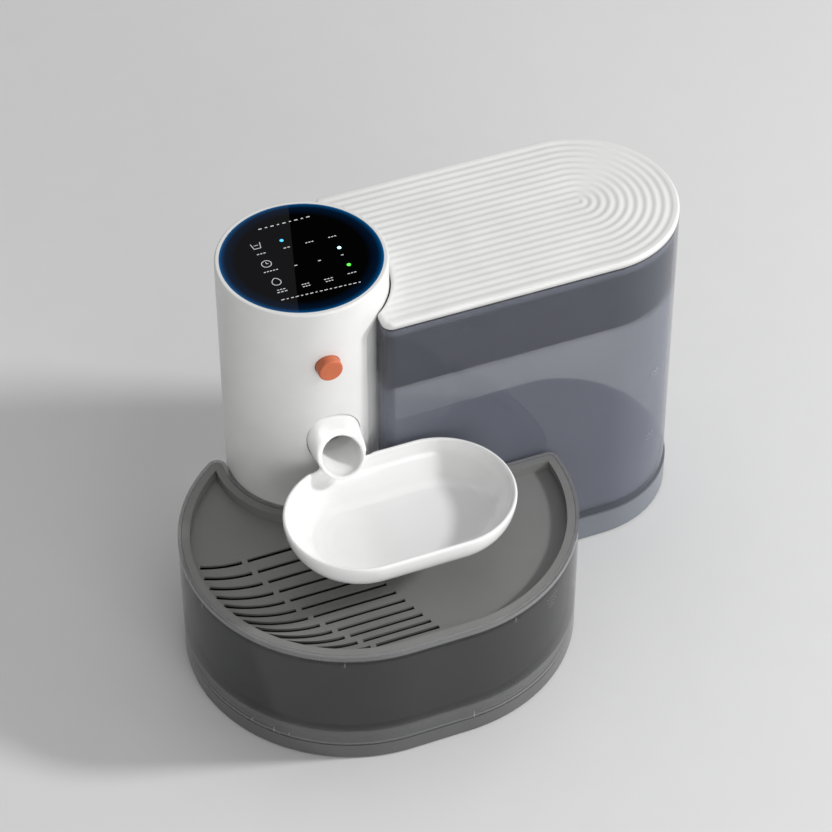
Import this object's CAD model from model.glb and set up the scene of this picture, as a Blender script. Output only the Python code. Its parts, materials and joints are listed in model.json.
"""Automatic pet feeder: looks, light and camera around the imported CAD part. Lengths in metres."""
import json
import math

import bpy
import bmesh
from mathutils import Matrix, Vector


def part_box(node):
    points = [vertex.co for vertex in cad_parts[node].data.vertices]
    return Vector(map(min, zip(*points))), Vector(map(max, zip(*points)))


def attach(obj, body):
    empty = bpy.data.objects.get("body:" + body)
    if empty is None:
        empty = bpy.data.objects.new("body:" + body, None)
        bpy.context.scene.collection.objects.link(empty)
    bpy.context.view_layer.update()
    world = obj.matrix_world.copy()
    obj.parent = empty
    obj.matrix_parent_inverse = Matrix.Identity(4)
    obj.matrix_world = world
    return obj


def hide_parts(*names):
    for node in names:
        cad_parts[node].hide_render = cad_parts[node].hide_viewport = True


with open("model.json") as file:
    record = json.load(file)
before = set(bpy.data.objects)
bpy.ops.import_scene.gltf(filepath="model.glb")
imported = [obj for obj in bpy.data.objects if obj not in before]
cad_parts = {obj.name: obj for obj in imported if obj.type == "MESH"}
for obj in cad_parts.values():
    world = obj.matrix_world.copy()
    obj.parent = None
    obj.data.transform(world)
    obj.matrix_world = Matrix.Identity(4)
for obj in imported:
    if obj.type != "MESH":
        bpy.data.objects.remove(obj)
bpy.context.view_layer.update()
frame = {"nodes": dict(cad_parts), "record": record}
NODES = frame["nodes"]
MM = 0.001

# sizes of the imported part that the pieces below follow
TANK_END_X = 0.212
TANK_CENTRE_Y = 0.009
TANK_HALF_WIDTH = 0.0742
TANK_TOP = 0.2615
TANK_DRAFT = 0.48  # degrees
TRAY_RADIUS = 0.122
BOWL_RADIUS = 0.0535
BOWL_RIM_Z = 0.158
BOWL_CENTRE_Y = -0.1215
GLASS_RADIUS = 0.0564

BAND_TOP = 0.3  # height at which the colour bands of the clear walls end
PRINT_THICKNESS = 0.00008
SKIN = 0.0001  # how far a mark's seat lies inside a clear wall's surface


# ---------------------------------------------------------------- materials
def new_material(name):
    material = bpy.data.materials.new(name)
    material.use_nodes = True
    tree = material.node_tree
    tree.nodes.clear()
    shader = tree.nodes.new("ShaderNodeBsdfPrincipled")
    output = tree.nodes.new("ShaderNodeOutputMaterial")
    tree.links.new(shader.outputs["BSDF"], output.inputs["Surface"])
    coords = tree.nodes.new("ShaderNodeTexCoord")
    return material, tree, shader, coords.outputs["Object"]


def add_noise(tree, coords, scale, detail=3.0, stretch=(1, 1, 1)):
    mapping = tree.nodes.new("ShaderNodeMapping")
    mapping.inputs["Scale"].default_value = stretch
    tree.links.new(coords, mapping.inputs["Vector"])
    noise = tree.nodes.new("ShaderNodeTexNoise")
    noise.inputs["Scale"].default_value = scale
    noise.inputs["Detail"].default_value = detail
    tree.links.new(mapping.outputs["Vector"], noise.inputs["Vector"])
    return noise.outputs["Fac"]


def add_range(tree, value, low, high):
    node = tree.nodes.new("ShaderNodeMapRange")
    node.inputs["From Min"].default_value = 0.3
    node.inputs["From Max"].default_value = 0.7
    node.inputs["To Min"].default_value = low
    node.inputs["To Max"].default_value = high
    tree.links.new(value, node.inputs["Value"])
    return node.outputs["Result"]


def add_tones(tree, value, dark, light):
    """A colour between dark and light, by a value that stays mostly within 0.32 to 0.68."""
    ramp = tree.nodes.new("ShaderNodeValToRGB")
    ramp.color_ramp.elements[0].position = 0.32
    ramp.color_ramp.elements[0].color = (*dark, 1)
    ramp.color_ramp.elements[1].position = 0.68
    ramp.color_ramp.elements[1].color = (*light, 1)
    tree.links.new(value, ramp.inputs["Fac"])
    return ramp.outputs["Color"]


def add_bump(tree, value, strength, distance):
    bump = tree.nodes.new("ShaderNodeBump")
    bump.inputs["Strength"].default_value = strength
    bump.inputs["Distance"].default_value = distance
    tree.links.new(value, bump.inputs["Height"])
    return bump.outputs["Normal"]


def plastic(name, colour, rough=0.4, vary=0.03, grain=1500, bump=0.12, metal=0.0, stretch=(1, 1, 1),
            coat=0.0):
    """Moulded plastic, rubber or metal: broad tone drift, fine surface grain, uneven gloss."""
    material, tree, shader, coords = new_material(name)
    drift = add_noise(tree, coords, 28, 4.0)
    fine = add_noise(tree, coords, grain, 2.0, stretch)
    dark = [c * (1 - vary) for c in colour]
    light = [min(1.0, c * (1 + vary)) for c in colour]
    tree.links.new(add_tones(tree, drift, dark, light), shader.inputs["Base Color"])
    gloss = add_range(tree, fine, max(0.02, rough * 0.88), min(1.0, rough * 1.12))
    tree.links.new(gloss, shader.inputs["Roughness"])
    tree.links.new(add_bump(tree, fine, bump, 0.00006), shader.inputs["Normal"])
    shader.inputs["Metallic"].default_value = metal
    shader.inputs["IOR"].default_value = 1.46
    shader.inputs["Coat Weight"].default_value = coat
    shader.inputs["Coat Roughness"].default_value = 0.08
    return material


def glow(name, colour, strength):
    material, tree, shader, coords = new_material(name)
    drift = add_noise(tree, coords, 900)
    tones = add_tones(tree, drift, [c * 0.85 for c in colour], colour)
    tree.links.new(tones, shader.inputs["Emission Color"])
    tree.links.new(tones, shader.inputs["Base Color"])
    shader.inputs["Emission Strength"].default_value = strength
    return material


def display_glass():
    """Black glass with a blue light that fades inwards from its edge."""
    material, tree, shader, coords = new_material("display_black_glass")
    shader.inputs["Roughness"].default_value = 0.06
    shader.inputs["IOR"].default_value = 1.5
    shader.inputs["Specular IOR Level"].default_value = 0.01
    length = tree.nodes.new("ShaderNodeVectorMath")
    length.operation = "LENGTH"
    flat = tree.nodes.new("ShaderNodeVectorMath")
    flat.operation = "MULTIPLY"
    flat.inputs[1].default_value = (1, 1, 0)
    tree.links.new(coords, flat.inputs[0])
    tree.links.new(flat.outputs["Vector"], length.inputs[0])
    ramp = tree.nodes.new("ShaderNodeValToRGB")
    scale = tree.nodes.new("ShaderNodeMath")
    scale.operation = "DIVIDE"
    scale.inputs[1].default_value = GLASS_RADIUS
    tree.links.new(length.outputs["Value"], scale.inputs[0])
    tree.links.new(scale.outputs["Value"], ramp.inputs["Fac"])
    stops = [(0.80, (0, 0, 0)), (0.93, (0.0, 0.006, 0.02)), (0.972, (0.0, 0.03, 0.10)),
             (0.992, (0.002, 0.075, 0.20))]
    ramp.color_ramp.elements[0].position = stops[0][0]
    ramp.color_ramp.elements[0].color = (*stops[0][1], 1)
    ramp.color_ramp.elements[1].position = stops[1][0]
    ramp.color_ramp.elements[1].color = (*stops[1][1], 1)
    for position, colour in stops[2:]:
        ramp.color_ramp.elements.new(position).color = (*colour, 1)
    tree.links.new(ramp.outputs["Color"], shader.inputs["Emission Color"])
    shader.inputs["Emission Strength"].default_value = 1.0
    # the left part of the panel is a slightly lighter black, with a slanting edge
    side = tree.nodes.new("ShaderNodeVectorMath")
    side.operation = "DOT_PRODUCT"
    side.inputs[1].default_value = (0.96, -0.28, 0)
    tree.links.new(coords, side.inputs[0])
    step = tree.nodes.new("ShaderNodeMapRange")
    step.inputs["From Min"].default_value = -0.0058
    step.inputs["From Max"].default_value = -0.0052
    step.inputs["To Min"].default_value = 0.72
    step.inputs["To Max"].default_value = 0.28
    tree.links.new(side.outputs["Value"], step.inputs["Value"])
    tree.links.new(add_tones(tree, step.outputs["Result"], (0.0003, 0.0003, 0.0004),
                             (0.010, 0.010, 0.011)), shader.inputs["Base Color"])
    return material


def height_bands(tree, coords, bands):
    """Grey that changes with height; bands are (height, grey) pairs from the bottom up."""
    split = tree.nodes.new("ShaderNodeSeparateXYZ")
    tree.links.new(coords, split.inputs[0])
    share = tree.nodes.new("ShaderNodeMath")
    share.operation = "DIVIDE"
    share.inputs[1].default_value = BAND_TOP
    tree.links.new(split.outputs["Z"], share.inputs[0])
    ramp = tree.nodes.new("ShaderNodeValToRGB")
    tree.links.new(share.outputs["Value"], ramp.inputs["Fac"])
    ramp.color_ramp.elements[0].position = bands[0][0] / BAND_TOP
    ramp.color_ramp.elements[0].color = (bands[0][1],) * 3 + (1,)
    ramp.color_ramp.elements[1].position = bands[-1][0] / BAND_TOP
    ramp.color_ramp.elements[1].color = (bands[-1][1],) * 3 + (1,)
    for height, grey in bands[1:-1]:
        ramp.color_ramp.elements.new(height / BAND_TOP).color = (grey, grey, grey, 1)
    return ramp.outputs["Color"]


def tint(tree, base, factor):
    """One colour multiplied by another."""
    mix = tree.nodes.new("ShaderNodeMix")
    mix.data_type = "RGBA"
    mix.blend_type = "MULTIPLY"
    mix.inputs["Factor"].default_value = 1.0
    tree.links.new(base, mix.inputs[6])
    tree.links.new(factor, mix.inputs[7])
    return mix.outputs[2]


def smoked(name, colour, cover, edge, bands=None):
    """Tinted clear plastic: see-through face on, denser where it is seen at a slant."""
    material, tree, shader, coords = new_material(name)
    drift = add_noise(tree, coords, 14, 3.0)
    tones = add_tones(tree, drift, [c * 0.95 for c in colour], [c * 1.05 for c in colour])
    if bands:
        tones = tint(tree, tones, height_bands(tree, coords, bands))
    tree.links.new(tones, shader.inputs["Base Color"])
    slant = tree.nodes.new("ShaderNodeLayerWeight")
    slant.inputs["Blend"].default_value = 0.35
    density = tree.nodes.new("ShaderNodeMapRange")
    density.inputs["To Min"].default_value = cover
    density.inputs["To Max"].default_value = edge
    tree.links.new(slant.outputs["Facing"], density.inputs["Value"])
    tree.links.new(density.outputs["Result"], shader.inputs["Alpha"])
    tree.links.new(add_range(tree, drift, 0.05, 0.09), shader.inputs["Roughness"])
    shader.inputs["IOR"].default_value = 1.5
    return material


MATERIALS = {
    "white_shell": plastic("satin_white_plastic", (0.80, 0.80, 0.79), 0.38),
    "white_glaze": plastic("gloss_white", (0.90, 0.90, 0.895), 0.16, vary=0.01, bump=0.04, coat=0.4),
    "inner_white": plastic("matt_white_plastic", (0.70, 0.70, 0.70), 0.5),
    "tank_clear": smoked("smoky_blue_clear", (0.225, 0.24, 0.295), 0.24, 0.75, [
        (0.0231, 0.55), (0.0300, 0.55), (0.0320, 1.0), (0.2040, 1.0), (0.2060, 0.50),
        (0.2560, 0.50), (0.2570, 1.0), (0.2615, 1.0)]),
    "tank_smoke": smoked("dark_smoke_clear", (0.075, 0.082, 0.10), 0.80, 0.90),
    "base_smoke": plastic("smoky_blue_base", (0.19, 0.205, 0.235), 0.25, bump=0.02),
    "tray_clear": smoked("smoky_grey_clear", (0.95, 0.95, 0.97), 0.40, 0.85, [
        (0.0140, 0.02), (0.0150, 0.02), (0.0153, 0.42), (0.0162, 0.42), (0.0168, 0.17),
        (0.0280, 0.21), (0.0295, 0.055), (0.0985, 0.062), (0.0995, 0.02), (0.1020, 0.02),
        (0.1028, 0.36), (0.1066, 0.36)]),
    "tray_dark": plastic("dark_grey_plastic", (0.215, 0.215, 0.21), 0.34, grain=2600, bump=0.03),
    "halo_blue": glow("blue_light_guide", (0.02, 0.25, 0.7), 0.6),
    "orange": plastic("orange_plastic", (0.58, 0.145, 0.06), 0.45, vary=0.08, bump=0.5,
                      grain=900, stretch=(0.15, 1, 2.2)),
    "rubber_black": plastic("black_rubber", (0.03, 0.03, 0.03), 0.75, grain=900, bump=0.4),
    "rubber_grey": plastic("grey_rubber", (0.10, 0.10, 0.105), 0.7, grain=900, bump=0.4),
    "steel": plastic("brushed_steel", (0.55, 0.55, 0.56), 0.3, metal=1.0, stretch=(1, 9, 1)),
    "brass": plastic("turned_brass", (0.68, 0.47, 0.2), 0.28, metal=1.0, stretch=(1, 1, 9)),
    "nylon": plastic("natural_nylon", (0.72, 0.69, 0.6), 0.45),
    "board_green": plastic("green_circuit_board", (0.03, 0.16, 0.07), 0.35, vary=0.2),
    "black_plastic": plastic("black_plastic", (0.02, 0.02, 0.02), 0.5, vary=0.15),
    "cell_wrap": plastic("cell_wrap", (0.09, 0.11, 0.13), 0.3, vary=0.1),
    "black_glass": display_glass(),
}
# these share a slot with a neighbour but are made in another grey
OWN_FINISH = {
    "tray_base": plastic("smoky_grey_base", (0.12, 0.12, 0.12), 0.2, bump=0.02),
    "spill_bin": plastic("dark_bin", (0.10, 0.10, 0.10), 0.4, bump=0.02),
    "lid_gasket": plastic("dark_gasket", (0.012, 0.012, 0.013), 0.7, bump=0.02),
}
SLOT_OF = {entry["node"]: entry["material_slot"] for entry in frame["record"]["subparts"]}
for node_name, node in NODES.items():
    node.data.materials.clear()
    node.data.materials.append(OWN_FINISH.get(node_name, MATERIALS[SLOT_OF[node_name]]))


def piece(name, verts, faces, body, slot_name, material=None, smooth=True):
    """A mesh object that rides on a body and takes its finish from a slot."""
    mesh = bpy.data.meshes.new(name)
    mesh.from_pydata([tuple(v) for v in verts], [], faces)
    mesh.validate()
    maker = bmesh.new()
    maker.from_mesh(mesh)
    bmesh.ops.recalc_face_normals(maker, faces=maker.faces)
    maker.to_mesh(mesh)
    maker.free()
    if smooth:
        mesh.shade_smooth()
    mesh.materials.append(material or MATERIALS[slot_name])
    item = bpy.data.objects.new(name, mesh)
    bpy.context.scene.collection.objects.link(item)
    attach(item, body)
    return item


# ---------------------------------------------------------------- ribbed lid
def make_lid():
    """The lid with nested oval ribs, which fade out near the tower."""
    low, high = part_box("lid")
    end_x, centre_y, half = TANK_END_X, TANK_CENTRE_Y, 0.072
    hollow, left_x, corner = 0.061, 0.0369, 0.0073
    pitch, depth, edge = 0.0065, 0.00055, 0.0022

    def left_limit(y):
        away = abs(y - centre_y) - (half - corner)
        x = left_x + (corner - math.sqrt(max(0.0, corner ** 2 - max(0.0, away) ** 2)))
        if abs(y) < hollow:
            x = max(x, math.sqrt(hollow ** 2 - y ** 2))
        return x

    def top(distance, left_distance, x, y):
        inset = min(half - distance, left_distance)
        drop = edge - math.sqrt(max(0.0, edge ** 2 - max(0.0, edge - inset) ** 2))
        fade = min(1.0, max(0.0, (inset - 0.0030) / 0.0025))
        fade = fade * fade * (3 - 2 * fade)
        rib = -math.cos(2 * math.pi * distance / pitch) * 0.5 - 0.5
        lip = 0.0
        if y < centre_y and 0.1234 < x < 0.179:
            lip = -0.0004 * max(0.0, 1 - abs(distance - 0.0706) / 0.0004)
        return high.z - drop + rib * depth * fade + lip

    rim_steps = [0.0, 0.00015, 0.0004, 0.0008, 0.0010, 0.0012, 0.0014, 0.0016, 0.0018, 0.0022, 0.0030]
    distances = [half - step for step in rim_steps]
    count = int((half - 0.0030) / 0.00045)
    distances += [(half - 0.0030) * (1 - n / count) for n in range(1, count)] + [0.0]
    left_steps = [0.0, 0.00015, 0.0004, 0.0008, 0.0014, 0.0022, 0.0030, 0.0037, 0.0044, 0.0055]
    middle = 12
    arc = 72
    rows = []
    for distance in distances:
        row = []
        for side in (-1, 1):
            y = centre_y + side * distance
            start = left_limit(y)
            xs = [start + step for step in left_steps]
            first = xs[-1]
            xs += [first + (end_x - first) * n / middle for n in range(1, middle + 1)]
            run = [(x, y, top(distance, x - start, x, y)) for x in xs]
            if side == -1:
                row += run
                for n in range(1, arc):
                    angle = -math.pi / 2 + math.pi * n / arc
                    x = end_x + distance * math.cos(angle)
                    yy = centre_y + distance * math.sin(angle)
                    row.append((x, yy, top(distance, 1.0, x, yy)))
            else:
                row += run[::-1]
        rows.append(row)
    width = len(rows[0])
    verts = [point for row in rows for point in row]
    faces = [(r * width + c, r * width + c + 1, (r + 1) * width + c + 1, (r + 1) * width + c)
             for r in range(len(rows) - 1) for c in range(width - 1)]
    # the side wall and the underside close the shell
    border = list(range(width))
    border += [r * width + width - 1 for r in range(1, len(rows))]
    border += [r * width for r in range(len(rows) - 2, 0, -1)]
    base = len(verts)
    verts += [(verts[n][0], verts[n][1], low.z) for n in border]
    loop = len(border)
    faces += [(border[n], border[(n + 1) % loop], base + (n + 1) % loop, base + n)
              for n in range(loop)]
    faces.append(tuple(base + n for n in range(loop)))
    lid = piece("ribbed_lid", verts, faces, "tank_lid", "white_shell")
    weld = lid.modifiers.new("weld", "WELD")
    weld.merge_threshold = 0.00001
    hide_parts("lid")


# ---------------------------------------------------------------- bowl
def stadium(left_x, right_x, centre_y, reach, count=48):
    """Points round an oblong of two half circles joined by straight sides."""
    points = []
    for centre_x, start in ((right_x, -90), (left_x, 90)):
        for n in range(count + 1):
            angle = math.radians(start + 180 * n / count)
            points.append((centre_x + reach * math.cos(angle), centre_y + reach * math.sin(angle)))
    return points


def make_bowl():
    """The bowl with a steep inner wall above its floor and the spout blended into the back wall."""
    node = NODES["bowl"]
    low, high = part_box("bowl")
    maker = bmesh.new()
    maker.from_mesh(node.data)
    maker.transform(node.matrix_world)
    bmesh.ops.remove_doubles(maker, verts=maker.verts, dist=0.000002)
    bmesh.ops.recalc_face_normals(maker, faces=maker.faces)
    left_x, right_x = low.x + BOWL_RADIUS, high.x - BOWL_RADIUS
    # distance from the oblong's spine and height over the rim: up the outside, then down the inside
    profile = [(0.0290, -0.0296)]
    for n in range(1, 9):
        angle = math.radians(90 - 90 * n / 9)
        profile.append((0.0285 + 0.0247 * math.cos(angle), -0.0015 - 0.0281 * math.sin(angle)))
    profile += [(0.0531, -0.0020), (0.0507, -0.0020), (0.0497, -0.0080), (0.0487, -0.0108),
                (0.0476, -0.0126), (0.0458, -0.0146), (0.0425, -0.0180), (0.0385, -0.0213),
                (0.0335, -0.0240), (0.0280, -0.0257), (0.0200, -0.0266), (0.0080, -0.0270)]
    rows = []
    for reach, drop in profile:
        rows.append([maker.verts.new((x, y, BOWL_RIM_Z + drop))
                     for x, y in stadium(left_x, right_x, BOWL_CENTRE_Y, reach)])
    width = len(rows[0])
    for a, b in zip(rows, rows[1:]):
        for n in range(width):
            maker.faces.new((a[n], a[(n + 1) % width], b[(n + 1) % width], b[n]))
    maker.faces.new(rows[0][::-1])
    maker.faces.new(rows[-1])
    bmesh.ops.triangulate(maker, faces=[face for face in maker.faces if len(face.verts) > 4])
    bmesh.ops.recalc_face_normals(maker, faces=maker.faces)
    rough = bpy.data.meshes.new("bowl_rough")
    maker.to_mesh(rough)
    maker.free()
    draft = bpy.data.objects.new("bowl_draft", rough)
    bpy.context.scene.collection.objects.link(draft)
    remesh = draft.modifiers.new("merge", "REMESH")
    remesh.mode = "VOXEL"
    remesh.voxel_size = 0.00085
    bpy.context.view_layer.update()
    graph = bpy.context.evaluated_depsgraph_get()
    merged = bpy.data.meshes.new_from_object(draft.evaluated_get(graph))
    bpy.data.objects.remove(draft)
    shape = bmesh.new()
    shape.from_mesh(merged)
    # the strip where spout and dish meet is smoothed much more than the rest
    blend = [v for v in shape.verts if abs(v.co.x) < 0.0235 and -0.0935 < v.co.y < -0.0655
             and 0.1415 < v.co.z < 0.1665]
    for _ in range(26):
        bmesh.ops.smooth_vert(shape, verts=blend, factor=0.6, use_axis_x=True, use_axis_y=True,
                              use_axis_z=True)
    for _ in range(3):
        bmesh.ops.smooth_vert(shape, verts=shape.verts, factor=0.5, use_axis_x=True,
                              use_axis_y=True, use_axis_z=True)
    verts = [(min(max(v.co.x, low.x), high.x), min(max(v.co.y, low.y), high.y),
              min(max(v.co.z, low.z), high.z)) for v in shape.verts]
    shape.verts.index_update()
    faces = [tuple(v.index for v in face.verts) for face in shape.faces]
    shape.free()
    bowl = piece("blended_bowl", verts, faces, "feeding_bowl", "white_glaze")
    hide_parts("bowl")


# ---------------------------------------------------------------- small marks on the clear walls
def add_tab(verts, faces, x, y, z, normal, wide, tall, proud=0.00006, sunk=0.0004):
    """A small flat tab in a wall whose outward direction in plan is normal."""
    nx, ny = normal
    tx, ty = -ny, nx
    base = len(verts)
    for out in (-sunk, proud):
        for across, up in ((-1, -1), (1, -1), (1, 1), (-1, 1)):
            verts.append((x + nx * out + tx * across * wide / 2, y + ny * out + ty * across * wide / 2,
                          z + up * tall / 2))
    faces += [(base, base + 3, base + 2, base + 1), (base + 4, base + 5, base + 6, base + 7)]
    faces += [(base + n, base + (n + 1) % 4, base + 4 + (n + 1) % 4, base + 4 + n) for n in range(4)]


def round_spot(centre_x, centre_y, reach, degrees):
    """A point on a circle in plan and the outward direction there."""
    angle = math.radians(degrees)
    normal = (math.cos(angle), math.sin(angle))
    return centre_x + reach * normal[0], centre_y + reach * normal[1], normal


def make_marks():
    """Pale clips and grip dots on the tray's wall, level marks on the tank's."""
    pale = plastic("pale_clip", (0.42, 0.42, 0.42), 0.3, bump=0.02)
    low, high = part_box("tray_shell")
    left_x, right_x = low.x + TRAY_RADIUS, high.x - TRAY_RADIUS
    centre_y = low.y + TRAY_RADIUS
    verts, faces = [], []
    rim_z, seam_z = 0.0985, 0.0172
    tabs = [(left_x, 191.5, rim_z, 0.0034), (left_x, 247.5, rim_z, 0.0034),
            (right_x, 286.3, rim_z, 0.0034), (left_x, 222.5, seam_z, 0.0040),
            (right_x, 271.0, seam_z, 0.0060), (left_x, 214.0, seam_z, 0.0022),
            (left_x, 228.0, seam_z, 0.0022)]
    for centre_x, degrees, z, tall in tabs:
        x, y, normal = round_spot(centre_x, centre_y, TRAY_RADIUS - SKIN, degrees)
        add_tab(verts, faces, x, y, z, normal, 0.0011, tall)
    # a small grid of grip dots on the right of the wall
    for row in range(3):
        for column in range(5 - row):
            x, y, normal = round_spot(right_x, centre_y, TRAY_RADIUS - SKIN,
                                      302.0 + column * 1.3 + row * 0.5)
            add_tab(verts, faces, x, y, 0.0915 - row * 0.0042, normal, 0.0009, 0.0009)
    piece("tray_clips", verts, faces, "tray", "tray_clear", pale, smooth=False)
    verts, faces = [], []
    # two level marks on the round end of the tank, each a few short dashes
    for level in (0.142, 0.078):
        inward = (TANK_TOP - level) * math.tan(math.radians(TANK_DRAFT))
        for column, tall in enumerate((0.0009, 0.0022, 0.0009, 0.0016)):
            x, y, normal = round_spot(TANK_END_X, TANK_CENTRE_Y, TANK_HALF_WIDTH - inward - SKIN,
                                      -60.5 + column * 1.7)
            add_tab(verts, faces, x, y, level + 0.0009 * (column % 2), normal, 0.0010, tall)
            add_tab(verts, faces, x, y, level - 0.0036, normal, 0.0008, 0.0008)
    piece("tank_level_marks", verts, faces, "tank", "tank_clear", pale, smooth=False)


# ---------------------------------------------------------------- display
def bar(verts, faces, x, y, length, width, z):
    """A short rounded dash, added to a shared mesh."""
    base = len(verts)
    outline = []
    radius = width / 2
    for centre, start in ((x + length / 2 - radius, -90), (x - length / 2 + radius, 90)):
        for n in range(7):
            angle = math.radians(start + 30 * n)
            outline.append((centre + radius * math.cos(angle), y + radius * math.sin(angle)))
    count = len(outline)
    verts += [(px, py, z) for px, py in outline] + [(px, py, z + PRINT_THICKNESS) for px, py in outline]
    faces.append(tuple(base + count + n for n in range(count)))
    faces.append(tuple(base + n for n in reversed(range(count))))
    faces += [(base + n, base + (n + 1) % count, base + count + (n + 1) % count, base + count + n)
              for n in range(count)]


def stroke(verts, faces, points, width, z, closed=False):
    """A line drawn as flat dashes from point to point."""
    pairs = list(zip(points, points[1:])) + ([(points[-1], points[0])] if closed else [])
    for (ax, ay), (bx, by) in pairs:
        length = math.hypot(bx - ax, by - ay)
        sx, sy = -(by - ay) / length * width / 2, (bx - ax) / length * width / 2
        base = len(verts)
        for top_z in (z, z + PRINT_THICKNESS):
            verts += [(ax + sx, ay + sy, top_z), (bx + sx, by + sy, top_z),
                      (bx - sx, by - sy, top_z), (ax - sx, ay - sy, top_z)]
        faces += [(base, base + 3, base + 2, base + 1), (base + 4, base + 5, base + 6, base + 7)]
        faces += [(base + n, base + (n + 1) % 4, base + 4 + (n + 1) % 4, base + 4 + n)
                  for n in range(4)]


def make_display():
    """Dashes, three icons and three small lights on the glass."""
    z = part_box("display_glass")[1].z + 0.00002
    ink = glow("display_print", (0.62, 0.63, 0.64), 0.28)
    verts, faces = [], []
    # generic dashes stand where the labels are: none of them is a letter
    for n in range(9):
        bar(verts, faces, (-16.5 + 4.4 * n) * MM, 38.2 * MM, (2.6, 1.7)[n % 2] * MM, 0.9 * MM, z)
    labels = [(-24.3, 13.5, 7), (-24.1, -5.6, 11), (-24.0, -25.9, 6.5), (-24.0, -28.3, 8),
              (-5.9, 13.2, 5.5), (10.5, 12.8, 6.5), (27.1, 12.4, 6.5),
              (-6.4, -6.5, 3), (10.3, -7.8, 3), (26.9, -8.0, 2.6),
              (-6.8, -26.6, 6), (-6.8, -29.0, 6), (9.5, -27.4, 7), (9.5, -29.8, 6), (26.5, -27.7, 7)]
    for x, y, length in labels:
        dashes = max(1, round(length / 2.3))
        for n in range(dashes):
            step = length / dashes
            bar(verts, faces, (x - length / 2 + step * (n + 0.5)) * MM, y * MM, step * 0.72 * MM,
                0.75 * MM, z)
    for n in range(17):
        bar(verts, faces, (-26.5 + 3.4 * n) * MM, (-36.1 - 0.15 * n) * MM,
            (2.5, 1.6, 2.1)[n % 3] * MM, 0.7 * MM, z)
    x, y = -24.9 * MM, 22.3 * MM
    stroke(verts, faces, [(x - .0034, y + .0030), (x - .0024, y - .0028), (x + .0024, y - .0028),
                          (x + .0034, y + .0030)], 0.0005, z)
    stroke(verts, faces, [(x - .0016, y + .0006), (x + .0016, y + .0006)], 0.0004, z)
    x, y = -24.5 * MM, 2.3 * MM
    ring = [(x + .0034 * math.cos(math.tau * n / 28), y + .0034 * math.sin(math.tau * n / 28))
            for n in range(28)]
    stroke(verts, faces, ring, 0.0005, z, True)
    stroke(verts, faces, [(x, y + .0019), (x, y), (x + .0014, y)], 0.0005, z)
    x, y = -24.4 * MM, -17.8 * MM
    drop = []
    for n in range(28):
        angle = math.tau * n / 28
        reach = .0031 * (1 + 0.32 * max(0.0, math.sin(angle)) ** 6)
        drop.append((x + reach * math.cos(angle), y + reach * math.sin(angle)))
    stroke(verts, faces, drop, 0.0005, z, True)
    piece("display_marks", verts, faces, "chassis", "black_glass", ink, smooth=False)
    lights = [("light_blue", -6.7, 21.5, (0.05, 0.42, 0.75), 1.5),
              ("light_white", 27.6, -0.1, (0.30, 0.72, 1.0), 3.0),
              ("light_green", 27.5, -19.0, (0.08, 0.85, 0.05), 1.6)]
    for name, x, y, colour, strength in lights:
        verts, faces = [], []
        rings = [(0.0014, 0.0), (0.0013, 0.00006), (0.0009, 0.00010), (0.0004, 0.00012)]
        for radius, height in rings:
            verts += [(x * MM + radius * math.cos(math.tau * n / 24),
                       y * MM + radius * math.sin(math.tau * n / 24), z + height) for n in range(24)]
        for r in range(len(rings) - 1):
            faces += [(24 * r + n, 24 * r + (n + 1) % 24, 24 * (r + 1) + (n + 1) % 24,
                       24 * (r + 1) + n) for n in range(24)]
        faces.append(tuple(24 * (len(rings) - 1) + n for n in range(24)))
        faces.append(tuple(reversed(range(24))))
        piece(name, verts, faces, "chassis", "halo_blue", glow(name + "_glow", colour, strength))


# ---------------------------------------------------------------- stage
def make_stage():
    """A plain pale floor."""
    verts = [(-4, -4, 0), (4, -4, 0), (4, 4, 0), (-4, 4, 0)]
    mesh = bpy.data.meshes.new("floor")
    mesh.from_pydata(verts, [], [(0, 1, 2, 3)])
    floor = bpy.data.objects.new("floor", mesh)
    bpy.context.scene.collection.objects.link(floor)
    mesh.materials.append(plastic("pale_floor", (0.75, 0.75, 0.75), 0.85, vary=0.006, grain=300,
                                  bump=0.02))


def add_light(name, toward, distance, size, power):
    """A round area light that looks at the object from the direction given."""
    data = bpy.data.lights.new(name, "AREA")
    data.shape = "DISK"
    data.size = size
    data.energy = power
    item = bpy.data.objects.new(name, data)
    direction = Vector(toward).normalized()
    item.location = Vector((0.08, 0, 0.12)) + direction * distance
    item.rotation_mode = "QUATERNION"
    item.rotation_quaternion = (-direction).to_track_quat("-Z", "Y")
    bpy.context.scene.collection.objects.link(item)


def make_camera():
    data = bpy.data.cameras.new("camera")
    data.sensor_width = 36
    data.lens = 129.3
    data.clip_start = 0.05
    data.clip_end = 30
    camera = bpy.data.objects.new("camera", data)
    camera.location = (-0.4947, -1.4585, 1.6419)
    toward = Vector((0.0915, 0.0180, 0.0900)) - camera.location
    camera.rotation_mode = "QUATERNION"
    camera.rotation_quaternion = toward.to_track_quat("-Z", "Y")
    bpy.context.scene.collection.objects.link(camera)
    bpy.context.scene.camera = camera


make_lid()
make_bowl()
make_marks()
make_display()
make_stage()
make_camera()
add_light("key", (0.79, -0.31, 0.526), 3.2, 0.42, 66)
add_light("front_fill", (0.05, -1.0, 0.32), 2.4, 1.6, 17)
add_light("top_fill", (0.1, 0.2, 1.0), 2.6, 2.0, 8)
world = bpy.data.worlds.new("studio")
world.use_nodes = True
world.node_tree.nodes["Background"].inputs["Color"].default_value = (1, 1, 1, 1)
world.node_tree.nodes["Background"].inputs["Strength"].default_value = 0.36
bpy.context.scene.world = world
bpy.context.scene.view_settings.view_transform = "Standard"
